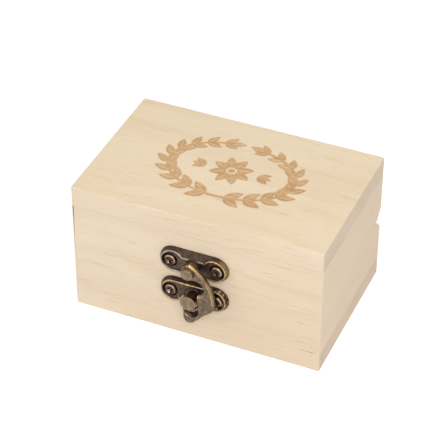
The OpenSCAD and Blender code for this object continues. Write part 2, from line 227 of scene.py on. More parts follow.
def open_joint_shade(g, place, along, across, height):
    """Painted shade in the joint that stands open for a few mm at the lower right of the front: how
    dark its gap is.
    """
    dark = g.times(g.ramp(g.apart(height, BOTTOM_JOINT), 0.08, 0.22, 1.0, 0.0),
                   g.ramp(along, *OPEN_WIDER, 0.1, 0.6))
    dark = g.times(dark, g.ramp(along, *OPEN_TO, 1.0, 0.0))
    dark = g.times(dark, g.ramp(g.noise(place, 1.1, 2.0), 0.42, 0.52, 0.25, 1.0))
    dark = g.times(dark, g.math("LESS_THAN", across, FRONT_ONLY))
    return g.times(dark, g.ramp(along, *OPEN_FROM))


def painted_arris_shade(g, place, along, normal):
    """Painted shade on the top's front arris. It dims the arris's highlight, which then catches the
    light in dashes only.
    """
    arris = g.vector("DOT_PRODUCT", normal, (0, -0.7, 0.7), out="Value")
    highlight_dashes = g.times(g.ramp(g.noise(place, 0.3, 1.0), 0.46, 0.52), g.ramp(along, -8.0, 6.0, 1.0, 0.0))
    return g.times(g.ramp(arris, 0.8, 0.95, 0.0, 0.05), g.math("SUBTRACT", 1.0, highlight_dashes))


def mitre_darkening(g, place, along, across, height):
    """The brown line at the left front mitre, widest and darkest under the lid's board."""
    left = g.plus(along, HALF_WIDTH)
    width = g.ramp(height, 18.0, 45.0, 0.5, 1.05)
    mitre_dark = g.ramp(g.math("SUBTRACT", left, width), -0.25, 0.15, 1.0, 0.0)
    mitre_dark = g.times(mitre_dark, g.ramp(height, 12.0, 40.0, 0.1, 1.0))
    mitre_dark = g.times(mitre_dark, g.ramp(height, TOP_JOINT - 0.1, TOP_JOINT, 1.0, 0.0))
    mitre_dark = g.times(mitre_dark, g.ramp(g.noise(place, 0.16, 2.0), 0.35, 0.6, 0.6, 1.0))
    return g.times(mitre_dark, g.math("LESS_THAN", across, FRONT_ONLY))


def wood(name, pith, along_y=False, figure=1.0, tint=(1.0, 1.0, 1.0), painted_top_light_tint=(1.0, 1.0, 1.0),
         end_shade=0.9, engraved=False):
    """Sanded wood with its grain along X or Y, cut from round a pith line at pith (across, up).
    Figure is how strongly the grain shows. What faces up gets painted light: a tint that makes it
    warmer and a little brighter, as if lit from above."""
    g = Graph(bpy.data.materials.new(name))
    turn = math.pi / 2 if along_y else 0.0
    place = g.place_mm(turn)
    normal = g.node("TexCoord", out="Normal")
    along, across, height = (g.axis(place, axis) for axis in "XYZ")
    bent, reach = grain_place(g, place, pith)

    # Growth rings, broad bands of tone, fibres, and short dark streaks and dashes
    ring_place = g.node("CombineXYZ", {0: g.times(along, 0.009), 1: g.times(reach, 0.5)})
    ring_inputs = {"Vector": ring_place, "Scale": 1.0, "Detail": 3.0, "Roughness": 0.6}
    rings = g.ramp(g.node("TexNoise", ring_inputs), 0.46, 0.7)
    bands = g.noise(place, 1.0, 2.0, stretch=(0.012, 0.05, 0.05), shift=(5, 4, 2))
    fibres = g.noise(bent, 1.0, 3.0, 0.65, stretch=(0.1, 3.2, 3.2))
    streaks = g.noise(bent, 1.0, 1.0, 0.5, stretch=(0.05, 1.0, 1.0), shift=(3, 7, 9))
    streaks = g.ramp(streaks, 0.6, 0.78)
    dashes = g.noise(bent, 1.0, 1.0, 0.5, stretch=(0.1, 1.7, 1.7), shift=(13, 2, 5))
    dashes = g.ramp(dashes, 0.68, 0.76)

    share = g.times(rings, RING_SHARE)
    share = g.plus(share, g.ramp(bands, 0.3, 0.7, 0.0, BAND_SHARE))
    share = g.plus(share, g.ramp(fibres, 0.35, 0.65, *FIBRE_SHARE))
    share = g.plus(share, g.times(streaks, STREAK_SHARE), clamp=True)
    share = g.plus(share, g.times(dashes, DASH_SHARE))
    share = g.plus(0.2 * (1 - figure), g.times(share, figure), clamp=True)
    colour = g.mix(share, tinted(PALE, tint), tinted(DEEP, tint))

    # End grain drinks the light
    facing = g.node("Mapping", {"Vector": normal, "Rotation": (0, 0, turn)})
    is_end = g.ramp(g.math("ABSOLUTE", g.axis(facing, "X")), 0.6, 0.95)
    pores = g.noise(place, 1.0, 2.0, 0.6, stretch=(1.5, 1.5, 1.5))
    end_tone = g.ramp(pores, 0.3, 0.7, end_shade - 0.035, end_shade + 0.035)
    shade = g.plus(g.times(is_end, g.math("SUBTRACT", end_tone, 1.0)), 1.0)
    colour = g.tint(is_end, colour, END_TINT)
    # Painted light: what faces up is tinted warmer and a little brighter
    colour = g.tint(g.ramp(g.axis(normal, "Z"), 0.6, 0.95), colour, (*painted_top_light_tint, 1.0))

    # Boards meet in hairlines
    for joint in (BOTTOM_JOINT, TOP_JOINT):
        shade = g.times(shade, g.ramp(g.apart(height, joint), 0.0, 0.15, JOINT_SHADE, 1.0))
    shade = g.math("SUBTRACT", shade, open_joint_shade(g, place, along, across, height))
    shade = g.math("SUBTRACT", shade, painted_arris_shade(g, place, along, normal))
    shades = g.node("CombineXYZ", {0: shade, 1: shade, 2: shade})
    colour = g.mix(1.0, colour, shades, blend="MULTIPLY")

    # Painted light: near the seam the wood is tinted cooler, against the warm light that bounces in
    # its groove
    colour = g.tint(g.ramp(g.apart(height, SEAM), 0.1, 0.3, 1.0, 0.0), colour, SEAM_PAINTED_COOL_TINT)

    rough = g.ramp(fibres, 0.3, 0.7, 0.52, 0.66)
    if engraved:
        burn = g.attribute("burn")
        patchy = g.noise(place, 1.0, 3.0, 0.6, stretch=(0.25, 0.9, 0.9))
        burnt = g.mix(g.ramp(patchy, 0.3, 0.7), BURNT_DARK, BURNT_LIGHT)
        burnt = g.mix(g.times(g.math("MAXIMUM", rings, streaks), 0.4), burnt, BURNT_GRAIN)
        colour = g.mix(burn, colour, burnt)
        rough = g.plus(rough, g.times(burn, 0.15))
    elif not along_y:
        # A brown line darkens the left front mitre
        mitre_dark = mitre_darkening(g, place, along, across, height)
        colour = g.mix(mitre_dark, colour, g.mix(g.ramp(height, 41.0, 44.5), MITRE_DARK_LOW, MITRE_DARK_HIGH))
    grain = g.math("SUBTRACT", g.plus(fibres, g.times(rings, 0.4)), g.times(dashes, 0.6))
    return g.close({"Base Color": colour, "Roughness": rough, "Specular IOR Level": WOOD_SHINE},
                   bump=(grain, *WOOD_BUMP))


woods = {
    "top": wood("wood_top_board", pith=(-70, -60), painted_top_light_tint=(1.03, 1.015, 0.96), end_shade=0.865,
                engraved=True),
    "base": wood("wood_bottom_board", pith=(60, -70), end_shade=0.87),
    "front": wood("wood_front_and_back", pith=(-120, -20)),
    "side": wood("wood_sides", pith=(110, -30), along_y=True, figure=0.55, tint=(1.0, 0.97, 0.965)),
}
for name, obj in nodes.items():
    kind = {"bottom_board": "base", "lid_top_board": "top"}.get(name)
    if name.endswith("_wall"):
        kind = "side" if ("left" in name or "right" in name) else "front"
    if kind:
        obj.data.materials.clear()
        obj.data.materials.append(woods[kind])


# The engraved lid board: the CAD board with a leaf wreath sunk into its top

# What counts as far outside
OUTSIDE = -9.0

RIB_HALF_WIDTH = 0.12
WREATH_CENTRE = np.array([0.5, 1.0])
WREATH_RX = 25.0
WREATH_RY = 16.6
# Angles from the wreath's foot
LEAVES_FROM = 0.16
LEAVES_OVER = 2.62
STEM_TO = 2.82
STEM_HALF_WIDTH = 0.55
LEAF_PAIRS = 10
LEAF_LEAN = 0.62
LEAF_SHRINK = 0.25
PETALS = 8
PETAL_BASE = 1.9
FLOWER_EYE = 1.25
BUD_BASE = 10.4
BUD_LEANS = (-0.55, 0.0, 0.55)
# Length and width
LEAF = np.array((7.6, 3.9))
TIP_LEAF = (6.2, 3.1)
PETAL = (6.6, 3.9)
BUD_LEAF = (5.4, 2.6)

CUT_DEPTH = 0.28
# How far inside the outline the cut and the burn begin, and how wide their banks are
CUT_BANK = (-0.08, 0.26)
BURN_BANK = (-0.22, 0.34)

CORNER = 1.0
ROUND_OVER = 0.6
ROUND_STEPS = 6
LOWER_CHAMFER = 0.08
HOLDING = 0.06
FINE_X = (-30.5, 31.5)
FINE_Y = (-21.5, 23.5)
COARSE_STEP = 3.0
FINE_STEP = 0.2
SHARP_ANGLE = 50


def leaf_depth(x, y, base, angle, length, width):
    """How far inside a leaf each point lies, with the midrib left standing."""
    c, s = math.cos(angle), math.sin(angle)
    u = (x - base[0]) * c + (y - base[1]) * s
    v = -(x - base[0]) * s + (y - base[1]) * c
    t = np.clip(u / length, 0, 1)
    half = width / 2 * np.sin(np.pi * t ** 0.75) ** 0.8
    inside = np.minimum(half - np.abs(v), np.minimum(u, length - u))
    rib = np.abs(v) - RIB_HALF_WIDTH
    return np.where((t > 0.12) & (t < 0.8), np.minimum(inside, rib), inside)


def on_stem(side, angle):
    """A point of the stem, and the direction in which it grows there."""
    c, s = math.cos(angle), math.sin(angle)
    at = WREATH_CENTRE + [WREATH_RX * c, WREATH_RY * s]
    return at, math.atan2(side * WREATH_RY * c, -side * WREATH_RX * s)


def wreath_leaves():
    """Base, angle, length and width of every leaf and petal."""
    for side in (-1, 1):
        for k in range(LEAF_PAIRS):
            done = k / (LEAF_PAIRS - 1)
            at, way = on_stem(side, -math.pi / 2 + side * (LEAVES_FROM + LEAVES_OVER * done))
            for lean in (-LEAF_LEAN, LEAF_LEAN):
                yield at, way + lean, *(LEAF * (1.0 - LEAF_SHRINK * done))
        at, way = on_stem(side, -math.pi / 2 + side * (LEAVES_FROM + LEAVES_OVER * 1.03))
        yield at, way, *TIP_LEAF
        for lean in BUD_LEANS:
            way = (0 if side > 0 else math.pi) + side * lean
            yield WREATH_CENTRE + [side * BUD_BASE, 0], way, *BUD_LEAF
    for k in range(PETALS):
        way = 2 * math.pi * (k + 0.5) / PETALS
        base = WREATH_CENTRE + [PETAL_BASE * math.cos(way), PETAL_BASE * math.sin(way)]
        yield base, way, *PETAL


def wreath_depth(x, y):
    """How far inside the engraved ornament each point lies."""
    off_x, off_y = x - WREATH_CENTRE[0], y - WREATH_CENTRE[1]
    ex, ey = off_x / WREATH_RX, off_y / WREATH_RY
    ring = np.hypot(ex, ey)
    gradient = np.hypot(ex / WREATH_RX, ey / WREATH_RY) / np.maximum(ring, 1e-6)
    away = np.abs(ring - 1) / np.maximum(gradient, 1e-6)
    angle = np.abs((np.arctan2(ex, -ey) + np.pi) % (2 * np.pi) - np.pi)
    stem = np.where(angle < STEM_TO, STEM_HALF_WIDTH - away, OUTSIDE)
    deepest = np.maximum(stem, FLOWER_EYE - np.hypot(off_x, off_y))
    for leaf in wreath_leaves():
        deepest = np.maximum(deepest, leaf_depth(x, y, *leaf))
    return deepest


def fine_steps(low, high, fine_low, fine_high):
    """Coordinates from low to high, closely spaced between fine_low and fine_high."""
    before = max(2, round((fine_low - low) / COARSE_STEP) + 1)
    within = round((fine_high - fine_low) / FINE_STEP) + 1
    after = max(2, round((high - fine_high) / COARSE_STEP) + 1)
    return np.concatenate([
        np.linspace(low, fine_low, before)[:-1],
        np.linspace(fine_low, fine_high, within)[:-1],
        np.linspace(fine_high, high, after),
    ])


def board_face(inner_w, inner_d):
    """A grid of x and y over the flat top, with its corner squares drawn in to quarter circles."""
    corner_steps = np.linspace(0, CORNER - ROUND_OVER, 4)[1:]
    xs = fine_steps(-inner_w, inner_w, *FINE_X)
    ys = fine_steps(-inner_d, inner_d, *FINE_Y)
    xs = np.concatenate([-inner_w - corner_steps[::-1], xs, inner_w + corner_steps])
    ys = np.concatenate([-inner_d - corner_steps[::-1], ys, inner_d + corner_steps])
    gx, gy = np.meshgrid(xs, ys, indexing="ij")
    held_x, held_y = np.clip(gx, -inner_w, inner_w), np.clip(gy, -inner_d, inner_d)
    off_x, off_y = gx - held_x, gy - held_y
    square = np.maximum(np.abs(off_x), np.abs(off_y))
    round_off = np.hypot(off_x, off_y)
    scale = np.where(round_off > 0, square / np.maximum(round_off, 1e-9), 1.0)
    return held_x + off_x * scale, held_y + off_y * scale


def engraved_board():
    low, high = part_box("lid_top_board")
    (half_w, half_d, top), bottom = np.array(high) * MM_IN_METRE, low[2] * MM_IN_METRE
    inner_w, inner_d = half_w - CORNER, half_d - CORNER

    # The top, with the ornament sunk into it
    px, py = board_face(inner_w, inner_d)
    inside = wreath_depth(px, py)
    cut = rising(inside, *CUT_BANK)
    burn = rising(inside, *BURN_BANK)
    verts = [np.stack([px, py, top - CUT_DEPTH * cut], axis=-1).reshape(-1, 3)]
    burns = [burn.ravel()]
    index = np.arange(px.size).reshape(px.shape)
    quads = [index[:-1, :-1], index[1:, :-1], index[1:, 1:], index[:-1, 1:]]
    faces = np.stack(quads, axis=-1).reshape(-1, 4).tolist()

    # The rim: the top's outline, rounded over, then straight down to a small chamfer
    loop = np.concatenate([index[:-1, 0], index[-1, :-1], index[:0:-1, -1], index[0, :0:-1]])
    outline = np.stack([px.ravel()[loop], py.ravel()[loop]], axis=-1)
    held = np.clip(outline, [-inner_w, -inner_d], [inner_w, inner_d])
    way = outline - held
    way /= np.linalg.norm(way, axis=1, keepdims=True)
    levels = [(CORNER - ROUND_OVER * (1 - math.sin(a)), top - ROUND_OVER * (1 - math.cos(a)))
              for a in np.linspace(0, math.pi / 2, ROUND_STEPS)[1:]]
    levels += [(CORNER, top - ROUND_OVER - HOLDING), (CORNER, bottom + LOWER_CHAMFER + HOLDING),
               (CORNER, bottom + LOWER_CHAMFER), (CORNER - LOWER_CHAMFER, bottom)]
    last, count = loop, px.size
    for radius, z in levels:
        verts.append(np.column_stack([held + way * radius, np.full(len(loop), z)]))
        burns.append(np.zeros(len(loop)))
        new = np.arange(count, count + len(loop))
        count += len(loop)
        faces += np.stack([last, new, np.roll(new, -1), np.roll(last, -1)], axis=-1).tolist()
        last = new
    faces.append(last[::-1].tolist())

    mesh = bpy.data.meshes.new("lid_board_engraved")
    mesh.from_pydata((np.concatenate(verts) * MM).tolist(), [], faces)
    burn = mesh.attributes.new("burn", "FLOAT", "POINT")
    burn.data.foreach_set("value", np.concatenate(burns).astype(np.float32))
    work = bmesh.new()
    work.from_mesh(mesh)
    bmesh.ops.recalc_face_normals(work, faces=work.faces)
    work.to_mesh(mesh)
    work.free()
    board = bpy.data.objects.new("lid_board_engraved", mesh)
    bpy.context.scene.collection.objects.link(board)
    mesh.materials.append(woods["top"])
    mesh.polygons.foreach_set("use_smooth", [True] * len(mesh.polygons))
    mesh.set_sharp_from_angle(angle=math.radians(SHARP_ANGLE))
    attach(board, "lid")
    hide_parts("lid_top_board")


engraved_board()


# Bronze

BORDER = srgb(160, 122, 86)
SILVERY_SHEEN = srgb(206, 196, 182)
METALLIC = 0.9
# Distance and strength
METAL_BUMP = (0.00008, 0.6)


def bronze(name, dark, face, bright, rub_and_sheen, rough=0.36, flank=0.6, grime=0.3, hues=1.0,
           rubbed_and_lit_towards=(0.45, -0.55, 0.7)):
    """Antiqued plating: face on the front, dark patina in hollows, painted shade on the flanks, and
    bright where it is rubbed, painted brightest on one side as a highlight. Hues is how far the
    face turns from violet to olive.
    The direction given is the side that is rubbed most and gets the painted highlight, on the front
    fittings the side that the key lamp lights. Flank is how dark the flanks are painted, as shade."""
    g = Graph(bpy.data.materials.new(name))
    place = g.place_mm()
    mottle = g.noise(place, 0.7, 4.0, 0.62)
    patches = g.noise(place, 0.34, 2.0, 0.5, shift=(4, 9, 2))
    tints = g.noise(place, 0.45, 3.0, 0.55, shift=(8, 3, 6))
    speck = g.noise(place, 3.6, 3.0, 0.65, shift=(3, 1, 7))
    edge, hollow, pale_sheen = (g.attribute(a) for a in ("edge", "hollow", "pale_sheen"))
    normal = g.node("TexCoord", out="Normal")
    outward = g.math("ABSOLUTE", g.axis(normal, "Y"))

    # The plating, from violet to olive, with grime in patches and patina in hollows, and painted
    # shade on the flanks
    violet = [c * (1 + hues * k) for c, k in zip(face, (-0.02, -0.12, 0.0, 0.0))]
    olive = [c * (1 + hues * k) for c, k in zip(face, (0.04, 0.04, -0.16, 0.0))]
    colour = g.mix(g.ramp(tints, 0.4, 0.6), violet, olive)
    colour = g.mix(g.ramp(mottle, 0.34, 0.66, 0.0, 0.5), colour, dark)
    colour = g.mix(g.ramp(speck, 0.55, 0.7, 0.0, grime), colour, dark)
    flank_shade = g.ramp(outward, 0.15, 0.8, flank, 0.0)
    flank_shade = g.times(flank_shade, g.ramp(mottle, 0.35, 0.62, 1.0, 0.55))
    reach = g.vector("DOT_PRODUCT", normal, rubbed_and_lit_towards, out="Value")
    # Hollows that face the lit side are painted less dark, for painted glints in them
    hollow = g.times(hollow, g.ramp(reach, 0.75, 0.98, 1.0, 0.35))
    colour = g.mix(g.math("MAXIMUM", hollow, flank_shade), colour, dark)

    # Rubbed edges: a brown border and a bright line in it. They are painted brightest where they
    # face the direction given, the lit side, so they are partly a painted highlight
    rubbed_and_lit = g.ramp(reach, 0.15, 0.9, 0.12, 1.0)
    rubbed_and_lit = g.times(rubbed_and_lit, g.ramp(patches, 0.36, 0.58, rub_and_sheen, 0.5 * rub_and_sheen))
    border = g.times(g.ramp(edge, 0.15, 0.7, 0.0, 0.75), rubbed_and_lit, clamp=True)
    line = g.times(g.ramp(edge, 0.48, 0.92), rubbed_and_lit)
    line = g.times(line, g.ramp(outward, 0.35, 0.7, 0.2, 1.0), clamp=True)
    colour = g.mix(border, colour, BORDER)
    # The bright line turns silvery where a painted sheen is asked for
    colour = g.mix(line, colour, g.mix(pale_sheen, bright, SILVERY_SHEEN))
    roughness = g.plus(g.ramp(speck, 0.3, 0.7, rough - 0.06, rough + 0.1), g.times(line, -0.06))
    return g.close({"Base Color": colour, "Metallic": METALLIC, "Roughness": roughness},
                   bump=(g.plus(speck, mottle), *METAL_BUMP))


BLACK = srgb(37, 25, 19)
GOLD = srgb(226, 194, 132)
TOWARDS_BACK = (0.25, 0.97, 0.0)

cast_bronze = bronze("antique_bronze_cast", dark=BLACK, face=srgb(94, 78, 68), bright=GOLD, rub_and_sheen=1.0)
hook_bronze = bronze("antique_bronze_hook", dark=BLACK, face=srgb(124, 111, 96), bright=GOLD,
                     rub_and_sheen=1.1, rough=0.4)
head_bronze = bronze("worn_bronze_heads", dark=srgb(82, 60, 45), face=srgb(146, 128, 104),
                     bright=srgb(188, 160, 124), rub_and_sheen=0.8, rough=0.42, flank=0.3, hues=0.35)
# The screws' bright colour is near white: the colour of their painted glints
screw_bronze = bronze("bronzed_screw_steel", dark=srgb(22, 16, 15), face=srgb(74, 62, 55),
                      bright=srgb(255, 252, 245), rub_and_sheen=1.5, rough=0.26)
hinge_bronze = bronze("antique_bronze_hinge", dark=BLACK, face=srgb(112, 95, 78), bright=GOLD,
                      rub_and_sheen=0.9, rough=0.34, rubbed_and_lit_towards=TOWARDS_BACK)


# Measures and wear of the castings. Points on the front are (x, z), and angles are in degrees

def axis_of(node):
    """Middle of a round piece on the front."""
    low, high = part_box(node)
    return ((low.x + high.x) / 2 / MM, (low.z + high.z) / 2 / MM)


def from_axis(co, centre):
    return np.hypot(co[:, 0] - centre[0], co[:, 2] - centre[1])


def angle_about(co, centre):
    """Angle about an axis through centre, from -180 to 180, with 0 to the right."""
    return np.degrees(np.arctan2(co[:, 2] - centre[1], co[:, 0] - centre[0]))


def bump_at(value, middle, width):
    """1 where a value is at middle, falling to 0 on both sides."""
    return np.exp(-((value - middle) / width) ** 2)


WOOD_FRONT = float(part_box("box_front_wall")[0].y) / MM
STUD_AXIS = axis_of("keeper_stud")
STUD_REACH = 3.7
STUD_HEAD_RADIUS = 3.1
RIVET_HEAD_RADIUS = 2.35
EYE_AXIS = axis_of("pivot_rivet")
EYE_RADIUS = 3.1
# Angles round the eye where its painted highlight is kept
EYE_LIT_ARC = (-75, 118)
PLATE_RIM = 1.55
DIP_HALF_WIDTH = 5.5
RIGHT_END = 9.0
SCREW_HEAD_RADIUS = 2.4
SEAT_RADIUS = 2.9
GLINT_ANGLE = -130
# Where a lighter spot is painted on the keeper, left of the stud
LIGHTER_SPOT = (STUD_AXIS[0] - 5.8, STUD_AXIS[1] - 2.8)

# The hook's tongue: where it starts below the stud, its middle, and how far it is drawn in
TONGUE_START = 1.2
TONGUE_EASE = 4
TONGUE_MIDDLE = STUD_AXIS[0] + 1.8
TONGUE_DRAW = 0.15

# The hollow in the tongue, and the lip that it leaves round the stud
DISH_CENTRE = (STUD_AXIS[0] + 1.0, STUD_AXIS[1] - 4.0)
DISH_RADIUS = 3.15
DISH_BANK = 0.7
DISH_DEPTH = 1.1
DISH_REACH = 1.75
LIP_RADIUS = 4.1
# Angles of the painted highlights on the lip and at the lower left and right of the hollow's rim
LIP_HIGHLIGHT_ANGLE = -48
DISH_HIGHLIGHT_LEFT = 228
DISH_HIGHLIGHT_RIGHT = 318

# The crosses in the hinge screws
CROSS_HALF_WIDTH = 0.17
CROSS_REACH = 0.95
CROSS_DEPTH = 0.55
CROSS_BANK = 0.12
HEAD_LAYER = 0.25

MOST_WEAR = 1.2


def in_dish(co):
    """1 in the hollow of the finger tongue, below the lip round the stud, and 0 outside it."""
    inside = np.minimum(DISH_RADIUS - from_axis(co, DISH_CENTRE),
                        from_axis(co, STUD_AXIS) - LIP_RADIUS)
    return rising(inside, 0, DISH_BANK)


def shape_hook(co):
    """The hollow sunk in the tongue, and the tongue drawn in a little on both sides."""
    front = float(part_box("swing_hook")[0].y) / MM
    near = np.clip(1 - (co[:, 1] - front) / DISH_REACH, 0, 1)
    co[:, 1] += DISH_DEPTH * in_dish(co) * near
    below = falling(co[:, 2], STUD_AXIS[1] - TONGUE_START, TONGUE_EASE)
    co[:, 0] += (TONGUE_MIDDLE - co[:, 0]) * (TONGUE_DRAW * below)


def paint_hook(co, normals, wear):
    """The hollow is painted dark, with its antique black and the shade of the stud's head. Its rim
    gets painted highlights at lower left and right, and so does its lip.
    """
    dish = in_dish(co)
    edge = wear["edge"]
    # The eye keeps its bright edge, a painted highlight, only above and to its right where the lamp
    # lights it, and so does the outer edge down to the belly
    near_eye = falling(from_axis(co, EYE_AXIS), EYE_RADIUS + 0.8, 0.6)
    eye_angle = angle_about(co, EYE_AXIS)
    on_lit_arc = rising(eye_angle, EYE_LIT_ARC[0], 20) * falling(eye_angle, EYE_LIT_ARC[1], 16)
    edge *= 1 - near_eye + near_eye * (0.1 + 0.9 * on_lit_arc)
    edge *= 0.3 + 0.7 * rising(co[:, 2], STUD_AXIS[1] - 1.0, 3.5)
    # Between eye and belly the rubbing is less
    edge *= 1 - 0.3 * bump_at(co[:, 2], EYE_AXIS[1] - 2.2, 1.7)
    # Round the hollow: painted highlights on its rim at lower left and right
    near_dish = falling(from_axis(co, DISH_CENTRE), DISH_RADIUS + 0.7, 0.6)
    turned = angle_about(co, DISH_CENTRE) % 360
    rubbed_and_highlit = (0.2 + 2.4 * bump_at(turned, DISH_HIGHLIGHT_LEFT, 26)
              + 2.0 * bump_at(turned, DISH_HIGHLIGHT_RIGHT, 18))
    edge *= 1 - near_dish + near_dish * rubbed_and_highlit
    lip_highlight = (bump_at(from_axis(co, STUD_AXIS), LIP_RADIUS - 0.1, 0.35)
           * bump_at(angle_about(co, STUD_AXIS), LIP_HIGHLIGHT_ANGLE, 24))
    wear["edge"] = np.clip(np.maximum(edge, 1.3 * lip_highlight), 0, MOST_WEAR)
    # Painted dark: the hollow's antique black and the shade of the stud's head over it
    wear["hollow"] = np.maximum(wear["hollow"], 0.97 * dish) * (1 - 0.8 * lip_highlight)
    # The pale colour of painted highlights at the rim's lower left and on the lip
    wear["pale_sheen"] = np.clip(near_dish * bump_at(turned, DISH_HIGHLIGHT_LEFT, 40) + lip_highlight, 0, 1)


def paint_head(node, head_radius):
    """The post under a head is painted dark: the shade under the head, over the post's antiquing.
    """
    def paint(co, normals, wear):
        post_shade = falling(from_axis(co, axis_of(node)), head_radius - 0.25, 0.2)
        post_shade *= falling(np.abs(normals[:, 1]), 0.6, 0.3)
        wear["hollow"] = np.maximum(wear["hollow"], post_shade)
    return paint


def paint_plate(screws, sheen_from, sheen_over, ridge, right_end=0.0, blotches=0.0, spot=None):
    """The ridge is rubbed and painted brighter in its dip, as a highlight, with a silvery painted
    sheen to one side, the outline less, and the screws' seats keep their grime. Ridge is how far
    the ridge in the dip is painted bright, and right_end and blotches how far the plating is rubbed
    on its right end and in patches of its right ear. Spot is where a lighter spot is painted."""
    def paint(co, normals, wear):
        edge = wear["edge"]
        height = WOOD_FRONT - co[:, 1]
        edge *= 0.2 + 0.8 * rising(height, PLATE_RIM, 0.4)
        for screw in screws:
            edge *= rising(from_axis(co, axis_of(screw)), SEAT_RADIUS + 0.15, 0.5)
        # Painted highlight: the ridge in the dip is made brighter
        dip = falling(np.abs(co[:, 0]), DIP_HALF_WIDTH, 1.5) * rising(normals[:, 2], -0.6, 0.3)
        edge *= 1 + ridge * dip
        flank = rising(co[:, 0], RIGHT_END, 3) * rising(normals[:, 1], -0.8, 0.4)
        edge = np.maximum(edge, right_end * flank)
        # A silvery painted sheen to one side
        wear["pale_sheen"] = rising(co[:, 0], sheen_from, sheen_over)
        # A lighter spot, painted where one is given
        if spot:
            near = bump_at(from_axis(co, spot), 0, 0.8) * rising(height, PLATE_RIM, 0.3)
            edge = np.maximum(edge, 0.85 * near)
        if blotches:
            edge *= rising(from_axis(co, STUD_AXIS), STUD_REACH, 0.4)
            spots = np.array([noise.noise(Vector((x * 0.8, y * 0.8, z * 1.3))) for x, y, z in co])
            right_ear = rising(co[:, 0], STUD_AXIS[0] + 5.5, 2)
            edge = np.maximum(edge, blotches * right_ear * rising(spots, -0.02, 0.16))
            grime = right_ear * falling(spots, -0.06, 0.2)
            wear["hollow"] = np.maximum(wear["hollow"], grime)
            wear["pale_sheen"] *= 1 - right_ear
        wear["edge"] = np.clip(edge, 0, MOST_WEAR)
    return paint


def paint_screw(node, shine):
    """A rubbed ring round the head, partly a painted highlight, painted shade in the recess, and a
    painted glint at its lower left.
    """
    def paint(co, normals, wear):
        away = from_axis(co, axis_of(node)) / SCREW_HEAD_RADIUS
        front = falling(normals[:, 1], -0.35, 0.3)
        ring = bump_at(away, 0.82, 0.09) * front
        glint = (bump_at(away, 0.42, 0.18 + 0.1 * shine)
                 * bump_at(angle_about(co, axis_of(node)), GLINT_ANGLE, 24 + 14 * shine))
        rubbed_and_highlit = [0.6 * wear["edge"], 0.74 * ring, (1.1 + 0.8 * shine) * glint]
        # Painted shade in the recess, none where the glint is painted
        recess_shade = 0.95 * front * falling(away, 0.64, 0.16)
        wear["edge"] = np.maximum.reduce(rubbed_and_highlit)
        wear["hollow"] = np.maximum(wear["hollow"], recess_shade) * (1 - glint)
        # The ring takes the silvery sheen, and the glint the near-white bright colour
        wear["pale_sheen"] = 0.8 * (1 - shine * np.minimum(1.5 * glint, 1))
    return paint


def cross_recesses(outward):
    """Sinks a cross in the head of each of the two screws of a hinge leaf."""
    outward = np.array(outward)

    def carve(co):
        level, across = co @ outward, co @ np.cross((1, 0, 0), outward)
        middle = (co[:, 0].min() + co[:, 0].max()) / 2
        for half in (co[:, 0] < middle, co[:, 0] >= middle):
            u = co[:, 0] - (co[half, 0].min() + co[half, 0].max()) / 2
            v = across - (across[half].min() + across[half].max()) / 2
            a, b = np.abs(u + v) / math.sqrt(2), np.abs(u - v) / math.sqrt(2)
            arms = np.maximum(np.minimum(CROSS_HALF_WIDTH - a, CROSS_REACH - b),
                              np.minimum(CROSS_HALF_WIDTH - b, CROSS_REACH - a))
            near = half & (level > level.max() - HEAD_LAYER)
            co -= np.outer(CROSS_DEPTH * near * rising(arms, -0.05, CROSS_BANK), outward)
    return carve


# The castings: the CAD pieces with softened edges and a record of wear

CAST_VOXEL = 0.13
SMALL_VOXEL = 0.1
# In metres
MERGE_DISTANCE = 1e-6


def remeshed(node, voxel_mm):
    """A new object with an evenly fine mesh of a CAD node's shape, in mm."""
    mesh = nodes[node].data.copy()
    work = bmesh.new()
    work.from_mesh(mesh)
    bmesh.ops.remove_doubles(work, verts=work.verts, dist=MERGE_DISTANCE)
    bmesh.ops.scale(work, vec=(MM_IN_METRE,) * 3, verts=work.verts)
    work.to_mesh(mesh)
    work.free()
    piece = bpy.data.objects.new(node + "_cast", mesh)
    bpy.context.scene.collection.objects.link(piece)
    remesh = piece.modifiers.new("remesh", "REMESH")
    remesh.mode = "VOXEL"
    remesh.voxel_size = voxel_mm
    evaluated = piece.evaluated_get(bpy.context.evaluated_depsgraph_get())
    piece.data = bpy.data.meshes.new_from_object(evaluated)
    piece.modifiers.clear()
    piece.data.name = node + "_cast"
    return piece


def read_vectors(mesh, name):
    values = np.zeros(len(mesh.vertices) * 3)
    mesh.vertices.foreach_get(name, values)
    return values.reshape(-1, 3)


def write_points(mesh, co):
    mesh.vertices.foreach_set("co", co.ravel())
    mesh.update()


def smoothed(co, edges, rounds):
    """The points, each moved half-way to the mean of its neighbours, as often as rounds says."""
    starts, ends = edges.T
    degree = np.maximum(np.bincount(edges.ravel(), minlength=len(co)), 1)[:, None]
    co = co.copy()
    for _ in range(rounds):
        total = [np.bincount(starts, co[ends, axis], len(co))
                 + np.bincount(ends, co[starts, axis], len(co)) for axis in range(3)]
        co += 0.5 * (np.stack(total, axis=-1) / degree - co)
    return co


